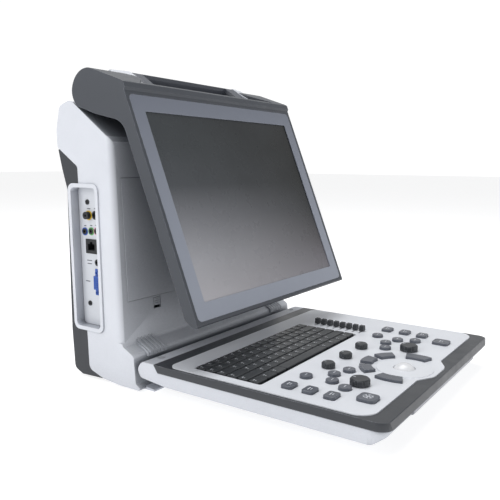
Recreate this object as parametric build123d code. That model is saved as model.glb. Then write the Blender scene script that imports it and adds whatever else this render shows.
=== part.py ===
from build123d import *
import math
import os

# A portable ultrasound scanner, unfolded for use, in millimetres.
# X is to the user's right, Y to the back and Z up. The origin is on the table, under the middle.

# ------------------------------------------------------------------ driving dimensions
half_width = 176.0            # console, monitor and control panel are equally wide
wall = 3.0                    # moulded casings
gap = 0.4                     # parting lines and loose fits
fillet_big = 8.0              # rounding between the console's sides and its front

screen_tilt = math.radians(22.04)
screen_centre = (52.0, 222.1)           # Y and Z of the middle of the glass
active_size = (304.1, 228.1)            # a 15-inch display with a 4:3 picture
glass_size = (313.0, 237.0)
bezel_half = (171.0, 134.0)
bezel_proud = 1.3                       # bezel face in front of the glass

tilt_axis = (161.5, 349.5)              # Y and Z of the monitor's hinge
tilt_shaft_radius = 4.0
tilt_bore_radius = 4.05
tilt_bracket_x = (115.0, 125.0)
tilt_shaft_x = (99.0, 141.0)

fold_axis = (67.6, 30.0)                # Y and Z of the control panel's hinge
fold_pin_radius = 3.0
fold_bore_radius = 3.05
fold_arm_x = (100.0, 112.0)
fold_slot_x = (98.5, 113.5)
fold_cheek_x = (95.5, 116.5)

panel_front = -221.0
panel_top = 39.5                        # top of the dark frame
panel_seam = 30.5                       # joint between the dark frame and the white tray
panel_bottom = 15.5
panel_strip_y = 65.5                    # front edge of the white strip over the hinge
frame_corner = 14.0
plate_top = 40.5
plate_thickness = 3.0
key_top = 43.8
key_bottom = 36.9
key_gap = 0.35

well_x = (-160.0, 77.5)                 # keyboard opening in the control plate
well_y = (-73.0, 17.5)
key_rows_y = (9.8, -4.6, -19.1, -33.6, -48.1, -62.6)
key_depth = 12.9
key_unit = 15.7

ball_centre = (-20.5, -177.0, 32.8)
ball_radius = 14.3                      # a 1 1/8 inch trackball
arc_radii = (37.0, 51.0)
bump_x = -8.0                           # middle of the control plate's bump

port_x = -176.0
port_proud = 2.0
port_depth = 10.0


# ------------------------------------------------------------------ drawing helpers
def corner_arc(before, corner, after, radius):
    """Start, middle and end of the arc that rounds one corner of an outline."""
    to_before = (Vector(*before) - Vector(*corner)).normalized()
    to_after = (Vector(*after) - Vector(*corner)).normalized()
    half_angle = math.radians(to_before.get_angle(to_after)) / 2
    reach = radius / math.tan(half_angle)
    inward = (to_before + to_after).normalized()
    middle = Vector(*corner) + inward * (radius / math.sin(half_angle) - radius)
    return Vector(*corner) + to_before * reach, middle, Vector(*corner) + to_after * reach


def outline(points):
    """Closed face in the XY plane from corners given as (first, second, corner radius)."""
    edges = []
    stations = []
    for number, (first, second, radius) in enumerate(points):
        before = points[number - 1][:2]
        after = points[(number + 1) % len(points)][:2]
        if radius > 0:
            start, middle, end = corner_arc(before, (first, second), after, radius)
            edges.append(ThreePointArc(start, middle, end))
        else:
            start = end = Vector(first, second)
        stations.append((start, end))
    for number, (start, _) in enumerate(stations):
        edges.append(Line(stations[number - 1][1], start))
    return make_face(edges)


def profile(points, x_low, x_high):
    """Solid that runs along X, with its outline given in Y and Z."""
    face = Plane.YZ * outline(points)
    return Pos(x_low, 0, 0) * extrude(face, x_high - x_low, dir=(1, 0, 0))


def plan(points, z_low, z_high):
    """Solid that runs up Z, with its outline given in X and Y."""
    return Pos(0, 0, z_low) * extrude(outline(points), z_high - z_low, dir=(0, 0, 1))


def elevation(points, y_low, y_high):
    """Solid that runs along Y, with its outline given in X and Z."""
    face = Plane.XZ * outline(points)
    return Pos(0, y_low, 0) * extrude(face, y_high - y_low, dir=(0, 1, 0))


def block(x, y, z):
    """Box between a (low, high) pair on each axis."""
    middle = Pos((x[0] + x[1]) / 2, (y[0] + y[1]) / 2, (z[0] + z[1]) / 2)
    return middle * Box(x[1] - x[0], y[1] - y[0], z[1] - z[0])


def rounded_block(x, y, z, radius):
    """Box between (low, high) pairs, with its upright edges rounded."""
    middle = Pos((x[0] + x[1]) / 2, (y[0] + y[1]) / 2, z[0])
    return middle * extrude(RectangleRounded(x[1] - x[0], y[1] - y[0], radius), z[1] - z[0])


def rod_x(x, centre, radius):
    """Round bar along X through a (Y, Z) centre."""
    middle = Pos((x[0] + x[1]) / 2, centre[0], centre[1])
    return middle * Rot(0, 90, 0) * Cylinder(radius, x[1] - x[0])


def rod_y(y, centre, radius):
    """Round bar along Y through an (X, Z) centre."""
    middle = Pos(centre[0], (y[0] + y[1]) / 2, centre[1])
    return middle * Rot(90, 0, 0) * Cylinder(radius, y[1] - y[0])


def rod_z(z, centre, radius):
    """Round bar along Z through an (X, Y) centre."""
    return Pos(centre[0], centre[1], (z[0] + z[1]) / 2) * Cylinder(radius, z[1] - z[0])


def mirrored(shape):
    """The same shape on the other side of the scanner's middle."""
    return mirror(shape, about=Plane.YZ)


def pair(shape):
    """A shape and its mirror image, as one."""
    return shape + mirrored(shape)


def screen(along, out):
    """Y and Z of a point at a distance up the screen's slope and out from its glass."""
    y = screen_centre[0] + along * math.sin(screen_tilt) - out * math.cos(screen_tilt)
    z = screen_centre[1] + along * math.cos(screen_tilt) + out * math.sin(screen_tilt)
    return (y, z)


def on_slope(points):
    """Corners given along and out from the screen, turned into Y, Z and radius."""
    return [screen(point[0], point[1]) + (point[2],) for point in points]


def screen_block(x, along, out):
    """Box in the screen's own slope, between (low, high) pairs."""
    corners = [(along[0], out[0], 0), (along[1], out[0], 0), (along[1], out[1], 0), (along[0], out[1], 0)]
    return profile(on_slope(corners), x[0], x[1])


def screen_plate(half_x, half_along, radius, out):
    """Plate with rounded corners that lies in the screen's slope, between two heights over the glass."""
    height = out[1] - out[0]
    face = extrude(RectangleRounded(2 * half_x, 2 * half_along, radius), height)
    y, z = screen(0, out[0])
    return Pos(0, y, z) * Rot(90 - math.degrees(screen_tilt), 0, 0) * face


def front_y(z):
    """Y of the console's sloping front wall at a height."""
    return 116.7 + 0.0506 * (z - 91.0)


def front_block(x, z, out, inward):
    """Slab that follows the console's front wall, from `out` in front of it to `inward` behind."""
    low, high = z
    corners = [
        (front_y(low) - out, low, 0),
        (front_y(low) + inward, low, 0),
        (front_y(high) + inward, high, 0),
        (front_y(high) - out, high, 0),
    ]
    return profile(corners, x[0], x[1])


def save(node, *shapes):
    """Write one sub-part, which may be several separate solids."""
    solids = [solid for shape in shapes for solid in shape.solids()]
    export_step(Compound(solids), "parts/" + node + ".step")


# ------------------------------------------------------------------ console outlines (Y, Z, radius)
lower_front = [
    (121.8, 2.3, 20.0),
    (89.0, 2.4, 1.5),
    (87.0, 5.5, 1.5),
    (94.2, 9.5, 2.0),
    (97.3, 43.0, 6.0),
    (115.6, 52.5, 5.0),
]
shoulder = [
    (127.1, 296.3, 14.0),
    (193.9, 344.1, 12.0),
    (214.0, 337.9, 8.0),
    (221.0, 309.8, 12.0),
]
white_edge = [
    (220.4, 288.3, 1.5),
    (185.1, 265.1, 6.0),
    (175.3, 13.2, 9.0),
    (150.1, 5.0, 20.0),
]
rear_edge = [
    (213.0, 261.9, 20.0),
    (204.9, 237.0, 20.0),
    (205.5, 60.0, 60.0),
    (202.4, 9.5, 8.0),
    (188.4, 3.5, 6.0),
]


def shifted(points, y, z):
    """The same corners moved in the YZ plane."""
    return [(point[0] + y, point[1] + z, point[2]) for point in points]


def console_cavity():
    """Space inside the housing and the rear cover together."""
    inside = [
        (121.8, 5.3, 17.0),
        (96.9, 5.3, 1.0),
        (97.3 + wall, 41.2, 3.0),
        (115.6 + wall, 50.7, 5.0),
        (127.1 + wall, 294.7, 11.0),
        (193.6, 340.4, 9.0),
        (211.4, 335.2, 5.0),
        (218.0, 309.6, 9.0),
        (217.6, 290.0, 3.0),
        (210.1, 262.6, 20.0),
        (201.9, 237.4, 17.0),
        (202.5, 60.0, 60.0),
        (199.6, 10.8, 5.0),
        (187.8, 6.6, 4.0),
        (150.0, 8.0, 20.0),
    ]
    return profile(inside, -half_width + wall, half_width - wall)


# ------------------------------------------------------------------ console: casings
port_frame = [
    (145.7, 62.8, 9.0),
    (198.4, 62.8, 9.0),
    (202.6, 245.0, 9.0),
    (149.4, 245.0, 9.0),
]
port_opening = [
    (150.8, 67.8, 5.0),
    (193.5, 67.8, 5.0),
    (197.4, 240.0, 5.0),
    (154.3, 240.0, 5.0),
]
battery_door_x = (-163.0, -61.0)
battery_door_z = (104.0, 252.6)
latch_x = (-118.5, -105.5)
latch_z = (88.0, 102.0)
latch_travel = 3.0
probe_sockets_z = (70.0, 152.0)
probe_socket_size = (30.0, 66.0)        # along Y and Z
probe_socket_y = 145.0
inlet_x = (2.0, 29.5)
inlet_z = (24.0, 44.0)
fan_centre = (92.0, 182.0)              # X and Z
fan_side = 60.0
fan_y = (181.0, 201.0)
screw_places = [(-164.0, 34.0), (164.0, 34.0), (-164.0, 252.0), (164.0, 252.0)]


def foot_bar_outline(grow):
    return [
        (74.6 - grow, 1.0, 0),
        (74.9 - grow, 3.6 + grow, 0.8),
        (86.0, 4.6 + grow, 0),
        (93.8 + grow, 8.6 + grow, 0),
        (93.8 + grow, 1.0, 0),
    ]


def port_cut():
    """Hole for the socket panel through the left side of the casing."""
    return profile(port_frame, port_x - 5, port_x + 14)


def probe_socket_block(z_low, grow):
    """Body of one probe socket on the right side."""
    y = (probe_socket_y - grow, probe_socket_y + probe_socket_size[0] + grow)
    z = (z_low - grow, z_low + probe_socket_size[1] + grow)
    return block((half_width - 24, half_width + port_proud), y, z)


def tilt_slots():
    """Slots in the shoulder where the monitor's brackets come out."""
    slot = block((tilt_bracket_x[0] - 1.5, tilt_bracket_x[1] + 1.5), (152.5, 170.5), (296, 345))
    return pair(slot)


def rounded_front():
    """Envelope that rounds the two long upright edges of the front wall."""
    start = 55.0
    front = front_y(start)
    corners = [
        (-half_width, 240, 0),
        (-half_width, front, fillet_big),
        (half_width, front, fillet_big),
        (half_width, 240, 0),
    ]
    upper = Pos(0, 0, start) * extrude(outline(corners), 320, dir=(0, 0.0506, 1))
    return upper + block((-half_width, half_width), (80, 240), (0, start))


def main_housing():
    """White casing: both sides, the front wall, the shoulder and the bottom."""
    solid = profile(lower_front + shoulder + white_edge, -half_width, half_width) & rounded_front()
    solid -= console_cavity()
    solid -= profile(foot_bar_outline(gap), -165.4, 165.4)
    solid -= front_block(battery_door_x, battery_door_z, 5, 8)
    solid -= front_block(latch_x, latch_z, 5, 8)
    solid -= port_cut()
    for z_low in probe_sockets_z:
        solid -= probe_socket_block(z_low, gap)
    solid -= tilt_slots()
    return solid


def rear_cover():
    """Dark casing that closes the back, with a grille over the fan."""
    corners = [(219.4, 287.2, 1.0)] + shifted(white_edge[1:3], gap, -0.2) + [(151.5, 5.0, 0)]
    corners += reversed(rear_edge)
    solid = profile(corners, -half_width, half_width)
    solid -= console_cavity()
    solid -= port_cut()
    for step in range(9):
        z = fan_centre[1] - 24 + 6 * step
        solid -= block((fan_centre[0] - 26, fan_centre[0] + 26), (195, 215), (z, z + 2.6))
    for step in range(12):
        x = -130 + 10 * step
        solid -= block((x, x + 3.4), (195, 215), (120, 210))
    solid -= block((inlet_x[0] - gap, inlet_x[1] + gap), (190, 215), (inlet_z[0] - gap, inlet_z[1] + gap))
    for place in screw_places:
        solid -= rod_y((190, 225), place, 3.4)
    return solid


def port_bezel():
    """Raised frame round the socket panel."""
    solid = profile(port_frame, port_x - port_proud, port_x + 12)
    return solid - profile(port_opening, port_x - 5, port_x + 20)


def battery_door():
    """Lift-off door in the front wall."""
    x = (battery_door_x[0] + gap, battery_door_x[1] - gap)
    z = (battery_door_z[0] + gap, battery_door_z[1] - gap)
    door = front_block(x, z, 0, 2.5)
    for side in (-1, 1):
        middle = (x[0] + x[1]) / 2 + side * 35
        door += front_block((middle - 4, middle + 4), (z[1] - 12, z[1] - 4), -2.5, 6)
    return door


def battery_latch():
    """Thumb slide under the battery door; it rests at the top of its notch."""
    x = (latch_x[0] + 1.0, latch_x[1] - 1.0)
    z = (latch_z[0] + latch_travel + 0.6, latch_z[1] - 0.6)
    slide = front_block(x, z, -0.6, 3.4)
    for step in range(3):
        ridge = z[0] + 1.6 + 2.6 * step
        slide += front_block((x[0] + 1.5, x[1] - 1.5), (ridge, ridge + 1.2), 0.4, 1.0)
    return slide


def base_foot_bar():
    """Light bar under the console's front edge."""
    solid = profile(foot_bar_outline(0), -165.0, 165.0)
    arm = block((fold_arm_x[0] - 0.3, fold_arm_x[1] + 0.3), (70, 95), (0, 5.0))
    return solid - pair(arm)


def rubber_feet():
    """Four feet: two under the foot bar and two under the rear cover."""
    front = rod_z((0, 1.0), (140, 84.5), 8.5)
    rear = rod_z((0, 3.3), (140, 183), 9.0)
    return [pair(front), pair(rear)]


# ------------------------------------------------------------------ console: hinges and frame
def monitor_hinge_brackets():
    """Two upright arms that carry the monitor's shafts."""
    neck = profile(
        [(155.5, 284, 0), (167.5, 284, 0), (167.5, tilt_axis[1], 0), (155.5, tilt_axis[1], 0)],
        *tilt_bracket_x,
    )
    boss = rod_x(tilt_bracket_x, tilt_axis, 8.8)
    foot = block((106, 134), (146, 176), (281, 284))
    arm = neck + boss + foot - rod_x((100, 140), tilt_axis, tilt_bore_radius)
    return pair(arm)


def panel_hinge_arms():
    """Two arms that rise from the foot bar into the control panel."""
    y = (fold_axis[0] - 5.6, fold_axis[0] + 5.6)
    stem = block(fold_arm_x, y, (1.0, fold_axis[1]))
    boss = rod_x(fold_arm_x, fold_axis, 5.6)
    foot = block(fold_arm_x, (y[0], 93.4), (1.0, 4.4))
    arm = stem + boss + foot - rod_x((95, 120), fold_axis, fold_bore_radius)
    return pair(arm)


def panel_hinge_covers():
    """Ribbed bulges on the console's lower shoulder, one at each side."""
    bulge = [
        (93.6, 38.6, 0),
        (94.6, 44.0, 3.0),
        (103.0, 48.6, 8.0),
        (114.5, 53.6, 3.0),
        (116.6, 57.0, 0),
        (116.0, 50.0, 0),
        (101.0, 38.0, 0),
    ]
    ribs = shifted(bulge, -0.5, 0.9)
    housing = profile(lower_front + shoulder + white_edge, -half_width, half_width)
    cover = profile(bulge, 121.0, 154.0)
    for step in range(5):
        x = 124.0 + 6.2 * step
        cover += profile(ribs, x, x + 2.2)
    return pair(cover - housing)


def chassis_frame():
    """Bent sheet-metal frame inside the console."""
    floor = block((-160, 160), (101, 194), (9, 11))
    side = block((158.4, 160), (131.5, 141.5), (9, 281))
    shelf = block((-160, 160), (131.5, 176), (279, 281))
    frame = floor + pair(side) + shelf
    return frame - block((30, 152), (168, 196), (5, 15))


def main_board():
    """Upright circuit board with its chips and heat sinks."""
    board = block((-40, 152), (160, 161.6), (112, 270))
    for place in [(0, 230), (60, 236), (115, 230), (20, 150), (118, 150)]:
        board += block((place[0] - 14, place[0] + 14), (161.6, 164.6), (place[1] - 14, place[1] + 14))
    for fin in range(7):
        x = 46 + 6 * fin
        board += block((x, x + 1.8), (161.6, 172), (160, 200))
    board += block((44, 86), (161.6, 164), (158, 202))
    return board


def power_supply():
    """Closed metal box with a row of air slots."""
    case = block((34, 148), (170, 196), (16, 100))
    for step in range(10):
        x = 46 + 9 * step
        case -= block((x, x + 4), (168, 172), (30, 86))
    return case


def battery_pack():
    """Battery behind the door, with a pull tab."""
    pack = rounded_block((-157, -67), (131.5, 155), (108, 248), 3)
    return pack + block((-120, -104), (129.6, 131.5), (120, 140))


def disk_drive():
    """Hard disk on its carrier."""
    drive = block((-130, -60), (176, 185.5), (18, 118))
    return drive + block((-134, -56), (174, 176), (14, 122))


def fan_housing():
    """Square fan frame with four spokes that hold the motor."""
    x, z = fan_centre
    half = fan_side / 2
    frame = block((x - half, x + half), fan_y, (z - half, z + half)) - rod_y((170, 210), fan_centre, 27.5)
    hub = rod_y((fan_y[0], fan_y[0] + 3), fan_centre, 11)
    spokes = block((x - 29, x + 29), (fan_y[0], fan_y[0] + 3), (z - 2, z + 2))
    spokes += block((x - 2, x + 2), (fan_y[0], fan_y[0] + 3), (z - 29, z + 29))
    pin = rod_y((fan_y[0], fan_y[0] + 12), fan_centre, 1.5)
    return frame + hub + spokes + pin


def fan_rotor():
    """Hub with seven blades."""
    x, z = fan_centre
    rotor = rod_y((fan_y[0] + 3.6, fan_y[1] - 2), fan_centre, 11.5)
    blade = Pos(18, 0, 0) * Rot(35, 0, 0) * Box(16, 1.6, 13)
    for step in range(7):
        turned = Rot(0, 360 / 7 * step, 0) * blade
        rotor += Pos(x, (fan_y[0] + fan_y[1]) / 2 + 0.8, z) * turned
    return rotor - rod_y((170, 210), fan_centre, 1.55)


def power_inlet():
    """Mains inlet with three pins in its recess."""
    x_mid = (inlet_x[0] + inlet_x[1]) / 2
    z_mid = (inlet_z[0] + inlet_z[1]) / 2
    body = block(inlet_x, (182, 204.6), inlet_z)
    corners = [(-12, -8, 2), (12, -8, 2), (12, 3, 1), (7, 8, 1), (-7, 8, 1), (-12, 3, 1)]
    recess = elevation([(x_mid + c[0], z_mid + c[1], c[2]) for c in corners], 188, 206)
    body -= recess
    for pin_x, pin_z in [(-7, -2), (0, 2.5), (7, -2)]:
        middle = (x_mid + pin_x, z_mid + pin_z)
        body += block((middle[0] - 1, middle[0] + 1), (187, 201), (middle[1] - 2, middle[1] + 2))
    return body


def housing_screws():
    """Four screws that hold the rear cover."""
    screws = []
    for place in screw_places:
        y_seat = 200.6 if place[1] < 100 else 205.0
        screw = rod_y((y_seat, y_seat + 2.2), place, 3.0) + rod_y((y_seat - 12, y_seat), place, 1.5)
        slot = block((place[0] - 2, place[0] + 2), (y_seat + 1.2, y_seat + 3), (place[1] - 0.4, place[1] + 0.4))
        screws.append(screw - slot)
    return screws


# ------------------------------------------------------------------ console: sockets
plate_x = (port_x + port_depth, port_x + port_depth + 1.5)
round_jacks = [
    # Y, Z, outer radius, bore radius, how far it stands out
    (178.8, 205.8, 4.6, 1.6, 6.0),
    (165.8, 206.5, 5.4, 3.6, 2.0),
    (186.3, 185.5, 3.6, 1.75, 1.5),
    (174.9, 186.3, 3.6, 1.75, 1.5),
    (165.0, 187.0, 3.6, 1.75, 1.5),
    (165.0, 148.0, 4.2, 2.4, 1.5),
    (180.5, 222.0, 3.2, 1.2, 1.0),
    (181.0, 95.0, 3.2, 1.2, 1.0),
]
network_y = (165.0, 185.0)
network_z = (158.5, 176.5)
display_y = (156.5, 169.5)
display_z = (107.0, 140.0)


def port_plate():
    """Metal panel at the bottom of the socket recess."""
    corners = [(151.2, 68.2, 4.6), (193.1, 68.2, 4.6), (197.0, 239.6, 4.6), (154.7, 239.6, 4.6)]
    plate = profile(corners, *plate_x)
    for y, z, radius, _, _ in round_jacks:
        plate -= rod_x((-170, -160), (y, z), radius - 0.4)
    plate -= block((-170, -160), (network_y[0] + 0.5, network_y[1] - 0.5), (network_z[0] + 0.5, network_z[1] - 0.5))
    plate -= block((-170, -160), (display_y[0] + 2, display_y[1] - 2), (display_z[0] + 4, display_z[1] - 4))
    return plate


def av_jacks():
    """Round sockets: video, audio, remote control and two earth points."""
    jacks = []
    for y, z, radius, bore, stand in round_jacks:
        flange = rod_x((plate_x[0] - stand, plate_x[0]), (y, z), radius)
        body = rod_x((plate_x[0], plate_x[0] + 12), (y, z), radius - 0.5)
        jacks.append(flange + body - rod_x((plate_x[0] - stand - 1, plate_x[0] + 8), (y, z), bore))
    return jacks


def network_jack():
    """Network socket with its latch notch and spring contacts."""
    y_mid = (network_y[0] + network_y[1]) / 2
    z_mid = (network_z[0] + network_z[1]) / 2
    body = block((plate_x[0] - 1.2, plate_x[0]), network_y, network_z)
    body += block((plate_x[0], plate_x[0] + 14), (network_y[0] + 1, network_y[1] - 1), (network_z[0] + 1, network_z[1] - 1))
    body -= block((plate_x[0] - 2, plate_x[0] + 12), (y_mid - 5.9, y_mid + 5.9), (z_mid - 5.0, z_mid + 3.0))
    body -= block((plate_x[0] - 2, plate_x[0] + 12), (y_mid - 2.2, y_mid + 2.2), (z_mid + 2.9, z_mid + 5.6))
    for step in range(8):
        y = y_mid - 4.1 + 1.02 * step
        body += block((plate_x[0] + 2, plate_x[0] + 12.5), (y, y + 0.5), (z_mid - 5.1, z_mid - 4.4))
    return body


def display_connector():
    """Upright display socket with its two screw posts."""
    y_mid = (display_y[0] + display_y[1]) / 2
    z_mid = (display_z[0] + display_z[1]) / 2
    body = block((plate_x[0] - 1.0, plate_x[0]), display_y, display_z)
    core_y = (y_mid - 4.2, y_mid + 4.2)
    core = block((plate_x[0] - 6, plate_x[0] + 10), core_y, (z_mid - 8.4, z_mid + 8.4))
    body += core
    for row in range(3):
        for step in range(5):
            place = (y_mid - 2.4 + 2.4 * row, z_mid - 5.2 + 2.6 * step)
            body -= rod_x((plate_x[0] - 7, plate_x[0] - 1), place, 0.6)
    for side in (-1, 1):
        post = (y_mid, z_mid + side * 12.5)
        body += rod_x((plate_x[0] - 5, plate_x[0]), post, 2.4) - rod_x((plate_x[0] - 6, plate_x[0]), post, 1.2)
    return body


def probe_sockets():
    """Two probe sockets in the right side, each a deep tray with a contact block."""
    sockets = []
    for z_low in probe_sockets_z:
        socket = probe_socket_block(z_low, 0)
        y = (probe_socket_y + 3, probe_socket_y + probe_socket_size[0] - 3)
        z = (z_low + 3, z_low + probe_socket_size[1] - 3)
        socket -= block((half_width - 18, half_width + 5), y, z)
        contact_y = (y[0] + 8, y[1] - 8)
        socket += block((half_width - 18.5, half_width - 10), contact_y, (z[0] + 8, z[1] - 8))
        sockets.append(socket)
    return sockets


# ------------------------------------------------------------------ monitor (distances along and out)
monitor_outline = [
    (-139.4, 1.3, 2.0),
    (138.5, 1.3, 1.0),
    (141.0, 3.5, 1.0),
    (147.5, 3.5, 1.5),
    (150.8, 0.4, 5.0),
    (200.2, -57.3, 27.0),
    (163.5, -88.2, 20.0),
    (134.0, -53.0, 100.0),
    (107.8, -14.7, 24.0),
    (-127.0, -13.3, 8.0),
    (-139.4, -5.0, 4.0),
]
monitor_inside = [
    (-136.4, -1.7, 0.0),
    (148.6, -1.7, 1.0),
    (196.0, -57.0, 24.0),
    (163.9, -84.0, 17.0),
    (136.4, -51.1, 100.0),
    (109.4, -11.7, 27.0),
    (-126.2, -10.3, 5.0),
    (-136.4, -3.8, 1.0),
]
grip_outline = [
    (139.0, 358.0, 0),
    (139.0, 367.1, 0.5),
    (159.5, 380.9, 5.0),
    (165.5, 382.4, 4.0),
    (173.0, 381.2, 5.0),
    (180.5, 373.5, 4.0),
    (177.5, 363.5, 3.0),
    (166.0, 358.0, 0),
]
grip_slot = [
    (130.0, 340.0, 0),
    (130.0, 395.0, 0),
    (160.3, 395.0, 0),
    (160.6, 376.6, 1.5),
    (163.0, 368.5, 4.0),
    (169.0, 364.2, 3.0),
    (177.0, 363.4, 0),
    (177.0, 340.0, 0),
]
pocket = [
    (146.0, 385.0, 0),
    (146.0, 352.0, 3.0),
    (152.0, 346.0, 4.0),
    (169.0, 346.0, 5.0),
    (176.0, 352.0, 4.0),
    (176.0, 385.0, 0),
]
pocket_lining = [
    (143.0, 385.0, 0),
    (143.0, 350.4, 3.0),
    (150.6, 343.2, 6.0),
    (170.4, 343.2, 7.0),
    (178.8, 350.8, 6.0),
    (178.8, 385.0, 0),
]
pocket_half = 88.5
lining_half = 91.3
grip_half = 108.5
scoop_start = (108.2, 362.0)            # Y and Z where the scoop leaves the head's front edge
scoop_slope = 0.164


def grip_solid():
    """Carry handle: a bar whose thick ends run down into the head."""
    return profile(grip_outline, -grip_half, grip_half) - profile(grip_slot, -pocket_half, pocket_half)


def finger_scoop(grow, drop):
    """Space over the shallow scoop in front of the carry handle."""
    corners = [
        (-150 - grow, 104, 0),
        (150 + grow, 104, 0),
        (113.5 + grow, 136.5, 0),
        (109 + grow, 157, 0),
        (-109 - grow, 157, 0),
        (-113.5 - grow, 136.5, 0),
    ]
    height_100 = scoop_start[1] + scoop_slope * (100 - scoop_start[0]) - drop
    height_160 = scoop_start[1] + scoop_slope * (160 - scoop_start[0]) - drop
    side = [(100, height_100, 0), (160, height_160, 0), (160, 420, 0), (100, 420, 0)]
    return plan(corners, 300, 420) & profile(side, -half_width, half_width)


def trim_solid():
    """White wedge between the handle's end and the head, on the right side."""
    corners = [
        (grip_half, 147.0, 0),
        (grip_half, 172.5, 0),
        (134.0, 172.5, 0),
        (139.0, 161.4, 0),
        (114.6, 134.6, 0),
        (112.6, 134.6, 0),
    ]
    side = [
        (125.0, 360.0, 0),
        (125.0, 372.0, 0),
        (158.5, 383.0, 6.0),
        (165.5, 382.4, 4.0),
        (173.0, 381.0, 0),
        (173.0, 360.0, 0),
    ]
    wedge = plan(corners, 340, 400) & profile(side, 90, 150)
    ramp = Plane(origin=(grip_half, 160.0, 382.0), z_dir=(0.112, -0.512, 0.852))
    return split(wedge, bisect_by=ramp, keep=Keep.BOTTOM)


def hinge_boss(x):
    """Seat for a monitor shaft, joined to the underside of the head."""
    seat = rod_x(x, tilt_axis, 8.0)
    web = screen_block(x, (143.0, 164.0), (-66.0, -53.0))
    return seat + web


def monitor_shell():
    """Back, sides and head of the monitor, open in front for the bezel."""
    solid = profile(on_slope(monitor_outline), -half_width, half_width)
    inside = profile(on_slope(monitor_inside), -half_width + wall, half_width - wall)
    bosses = hinge_boss((100.5, 113.2)) + hinge_boss((126.8, 139.5))
    inside -= pair(bosses)
    inside -= profile(pocket_lining, -lining_half, lining_half)
    inside -= finger_scoop(wall, wall)
    solid -= inside
    solid -= finger_scoop(0, 0)
    solid -= profile(pocket, -pocket_half, pocket_half)
    solid -= grip_solid()
    solid -= pair(trim_solid())
    solid -= screen_plate(bezel_half[0] + 0.3, bezel_half[1] + 0.3, 7, (-4.0, 6.0))
    solid -= pair(rod_x(tilt_shaft_x, tilt_axis, tilt_shaft_radius))
    solid -= pair(block((tilt_bracket_x[0] - 2, tilt_bracket_x[1] + 2), (140.5, 171.0), (312, 341)))
    return solid


def monitor_bezel():
    """Face frame round the screen, with a step behind it for the glass."""
    frame = screen_plate(*bezel_half, 6.7, (-2.4, bezel_proud))
    frame -= screen_plate(active_size[0] / 2, active_size[1] / 2, 1.5, (-5, 5))
    return frame - screen_plate(glass_size[0] / 2 + 0.5, glass_size[1] / 2 + 0.5, 2, (-5, 0))


def screen_glass():
    return screen_plate(glass_size[0] / 2, glass_size[1] / 2, 1.5, (-1.2, 0))


def lcd_module():
    """Flat display panel with its metal rim."""
    panel = screen_plate(160, 123, 1, (-9.8, -2.7))
    return panel - screen_plate(active_size[0] / 2, active_size[1] / 2, 1, (-3.2, 0))


def lcd_driver_board():
    board = screen_block((-110, 110), (117, 133), (-20, -18.4))
    for step in range(5):
        x = -90 + 40 * step
        board += screen_block((x, x + 16), (120, 130), (-18.4, -14.5))
    return board


def monitor_hinge_shafts():
    return pair(rod_x(tilt_shaft_x, tilt_axis, tilt_shaft_radius))


# ------------------------------------------------------------------ control panel: casings
def plate_outline(grow):
    """Corners of the white control plate, with its bump in front of the trackball."""
    left, right = -172.5 - grow, 172.5 + grow
    rear, front = 46.0 + grow, -202.0 - grow
    return [
        (left, rear, 12.0),
        (left, front, 20.0),
        (bump_x - 40 - grow, front, 6.0),
        (bump_x - 19, front - 12, 28.0),
        (bump_x + 19, front - 12, 28.0),
        (bump_x + 40 + grow, front, 6.0),
        (right, front, 20.0),
        (right, rear, 12.0),
    ]


def panel_plan(grow, corner, z):
    """Solid with the control panel's outline in plan."""
    left, right = -half_width + grow, half_width - grow
    front = panel_front + grow
    points = [(left, 100, 0), (left, front, corner), (right, front, corner), (right, 100, 0)]
    return plan(points, *z)


def arm_slots():
    """Slots for the hinge arms, open below and behind."""
    return pair(block(fold_slot_x, (60.8, 100), (5, 36.5)))


def panel_frame():
    """Dark top frame with a pocket for the control plate."""
    raked = [
        (panel_front, panel_seam, 0),
        (59.3, panel_seam, 0),
        (panel_strip_y, panel_top, 0),
        (panel_front + 1.5, panel_top, 1.0),
    ]
    solid = panel_plan(0, frame_corner, (panel_seam, panel_top)) & profile(raked, -180, 180)
    hollow = [(-218, 25, 0), (54, 25, 0), (58.5, 35.5, 0), (-218, 35.5, 0)]
    solid -= panel_plan(wall, frame_corner - wall, (25, 35.5)) & profile(hollow, -180, 180)
    solid -= plan(plate_outline(0.2), plate_top - plate_thickness, 50)
    solid -= plan(plate_outline(-3), 30, 50)
    return solid - arm_slots()


def panel_tray():
    """White lower half with the rounded rear end that hides the hinge."""
    side = [
        (panel_front + 2.2, panel_seam, 0),
        (59.3, panel_seam, 0),
        (panel_strip_y, panel_top, 0),
        (84.5, panel_top, 8.0),
        (91.8, 29.5, 8.0),
        (86.5, 19.8, 6.0),
        (45.0, panel_bottom, 20.0),
        (-204.0, panel_bottom, 14.0),
        (panel_front + 3.5, 24.5, 6.0),
    ]
    hollow = [
        (-216.0, 33.0, 0),
        (-214.6, 26.4, 3.0),
        (-203.4, 18.0, 10.0),
        (44.8, 18.0, 18.0),
        (84.8, 22.3, 3.0),
        (89.1, 29.2, 5.0),
        (83.5, 36.5, 5.0),
        (66.6, 36.5, 0),
        (62.4, 29.0, 0),
        (56.0, 29.0, 0),
        (56.0, 33.0, 0),
    ]
    solid = panel_plan(0.6, 20.0, (10, 50)) & profile(side, -180, 180)
    inside = panel_plan(0.6 + wall, 17.0, (10, 50)) & profile(hollow, -180, 180)
    inside -= pair(block(fold_cheek_x, (56, 100), (10, 50)))
    solid -= inside
    solid -= arm_slots()
    solid -= pair(rod_x(fold_cheek_x, fold_axis, fold_pin_radius))
    for x in (-150, 150):
        solid -= rod_z((37.3, 45), (x, 76.5), 5.2)
    return solid - block((-107.5, 107.5), (-230, -208), (23.5, 31))


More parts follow.
